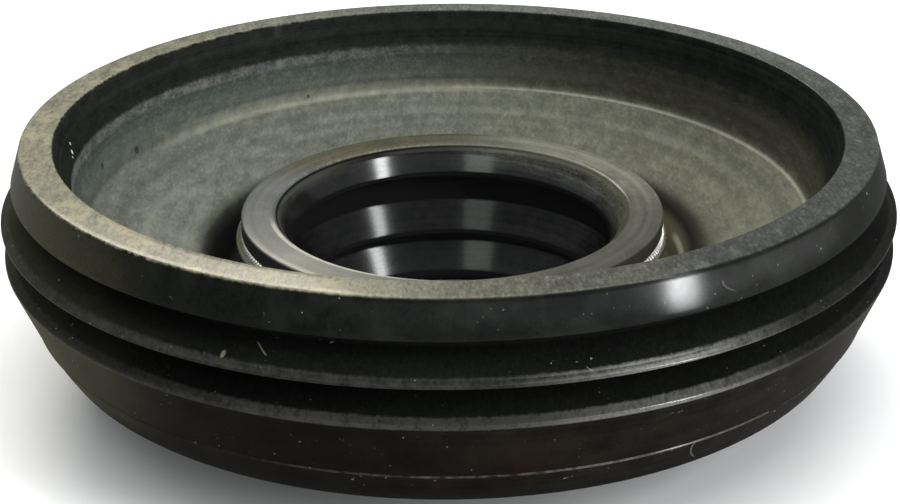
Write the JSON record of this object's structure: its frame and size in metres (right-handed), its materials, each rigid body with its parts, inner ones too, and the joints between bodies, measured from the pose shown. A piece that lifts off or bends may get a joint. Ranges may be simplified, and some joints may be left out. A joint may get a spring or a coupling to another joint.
{
  "type": "oil seal",
  "caption": "Moulded rubber oil seal with a ribbed press-in rim, a deep open bowl and a raised lip collar squeezed by a garter spring.",
  "frame": {"origin": "centre of the bounding box's bottom face, on the shaft axis in the plane of the hub's resting face", "axes": "+Z along the shaft axis, from the hub's resting face towards the open bowl and the garter spring"},
  "size_m": [0.068, 0.068, 0.02],
  "materials": {
    "rubber": "matte",
    "spring_steel": "satin"
  },
  "bodies": {
    "root": {"seal_body": "rubber", "garter_spring": "spring_steel"}
  },
  "joints": []
}
